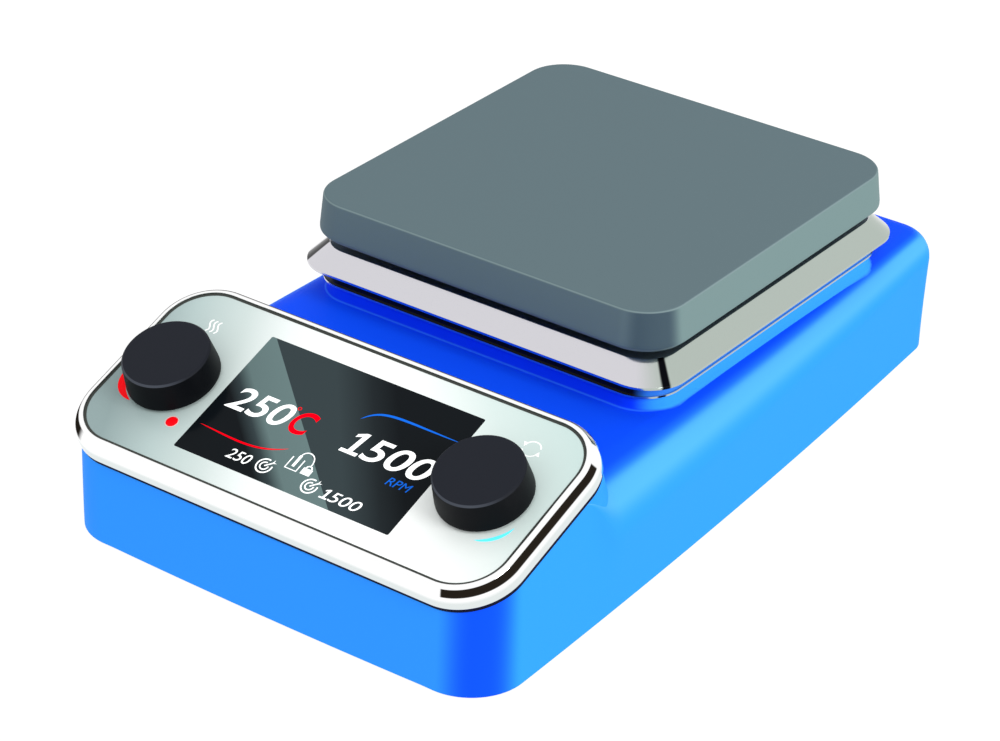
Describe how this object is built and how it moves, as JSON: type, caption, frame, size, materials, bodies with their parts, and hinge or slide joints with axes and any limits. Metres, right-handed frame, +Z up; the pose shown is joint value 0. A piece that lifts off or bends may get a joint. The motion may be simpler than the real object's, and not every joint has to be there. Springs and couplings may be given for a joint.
{
  "type": "heating magnetic stirrer",
  "caption": "Bench hotplate stirrer: square ceramic-coated plate on a steel heat shield, blue housing, sloped glass panel with display and rotary push knobs.",
  "frame": {"origin": "centre of the bounding box on the bench, under the feet", "axes": "+Z up, +Y to the rear, away from the control panel, +X to the right seen from the front"},
  "size_m": [0.226, 0.3762, 0.115],
  "materials": {
    "blue_coat": "fine satin powder coat",
    "chrome": "mirror bright",
    "fascia": "back-printed silver, gloss",
    "screen": "gloss",
    "knob_black": "satin",
    "red_light": "clear red",
    "cyan_light": "clear cyan",
    "plate_coat": "fine matt ceramic coat",
    "polished_steel": "polished",
    "zinc_steel": "zinc plated",
    "nickel": "nickel plated",
    "aluminium": "cast",
    "wool": "mineral fibre board",
    "white_ceramic": "unglazed",
    "rubber": "matt",
    "board": "solder mask",
    "brass": "plain",
    "copper": "wound coil",
    "black_plastic": "fine texture",
    "motor_black": "satin"
  },
  "bodies": {
    "enclosure": {"base_plate": "zinc_steel", "base_screw_front_left": "zinc_steel", "base_screw_front_right": "zinc_steel", "base_screw_rear_left": "zinc_steel", "base_screw_rear_right": "zinc_steel", "board_spacer_1": "brass", "board_spacer_2": "brass", "board_spacer_3": "brass", "board_spacer_4": "brass", "control_board": "board", "display_module": "screen", "drive_motor": "motor_black", "foot_front_left": "rubber", "foot_front_right": "rubber", "foot_rear_left": "rubber", "foot_rear_right": "rubber", "heat_encoder": "zinc_steel", "heat_light_guide": "red_light", "heat_shield": "polished_steel", "heat_sink": "aluminium", "heater_relay": "black_plastic", "heating_element": "aluminium", "hot_indicator": "red_light", "hot_plate": "plate_coat", "housing": "blue_coat", "inlet_pin_earth": "nickel", "inlet_pin_live": "nickel", "inlet_pin_neutral": "nickel", "insulation_ring": "wool", "main_board": "board", "mains_inlet": "black_plastic", "mains_transformer": "copper", "motor_bracket": "zinc_steel", "panel_bezel": "chrome", "panel_fascia": "fascia", "plate_standoff_1": "white_ceramic", "plate_standoff_2": "white_ceramic", "plate_standoff_3": "white_ceramic", "plate_standoff_4": "white_ceramic", "probe_socket": "nickel", "rod_socket": "nickel", "speed_encoder": "zinc_steel", "speed_light_guide": "cyan_light", "switch_frame": "black_plastic", "temperature_sensor": "nickel"},
    "heat_plunger": {"heat_plunger": "brass"},
    "heat_knob": {"heat_knob": "knob_black", "heat_shaft": "nickel"},
    "speed_plunger": {"speed_plunger": "brass"},
    "speed_knob": {"speed_knob": "knob_black", "speed_shaft": "nickel"},
    "stirring_magnet": {"motor_shaft": "nickel", "magnet_holder": "aluminium", "magnet_left": "nickel", "magnet_right": "nickel"},
    "power_rocker": {"switch_rocker": "black_plastic"},
    "fuse_drawer": {"fuse_drawer": "black_plastic", "fuse": "white_ceramic"}
  },
  "joints": [
    {"name": "heat_push", "type": "slide", "parent": "enclosure", "child": "heat_plunger", "axis": [0, -0.342, 0.9397], "range_m": [-0.0008, 0], "stiffness_N_per_m": 3000, "springref_m": 0.0004},
    {"name": "heat_turn", "type": "hinge", "parent": "heat_plunger", "child": "heat_knob", "pos_m": [-0.0803, -0.14538, 0.07347], "axis": [0, -0.342, 0.9397], "continuous": true},
    {"name": "speed_push", "type": "slide", "parent": "enclosure", "child": "speed_plunger", "axis": [0, -0.342, 0.9397], "range_m": [-0.0008, 0], "stiffness_N_per_m": 3000, "springref_m": 0.0004},
    {"name": "speed_turn", "type": "hinge", "parent": "speed_plunger", "child": "speed_knob", "pos_m": [0.0795, -0.14172, 0.0748], "axis": [0, -0.342, 0.9397], "continuous": true},
    {"name": "magnet_spin", "type": "hinge", "parent": "enclosure", "child": "stirring_magnet", "pos_m": [0, 0.049, 0.05], "axis": [0, 0, 1], "continuous": true},
    {"name": "power_switch", "type": "hinge", "parent": "enclosure", "child": "power_rocker", "pos_m": [0.048, 0.185, 0.037], "axis": [1, 0, 0], "range_deg": [-13, 0]},
    {"name": "fuse_drawer_slide", "type": "slide", "parent": "enclosure", "child": "fuse_drawer", "axis": [0, 1, 0], "range_m": [0, 0.018]}
  ]
}
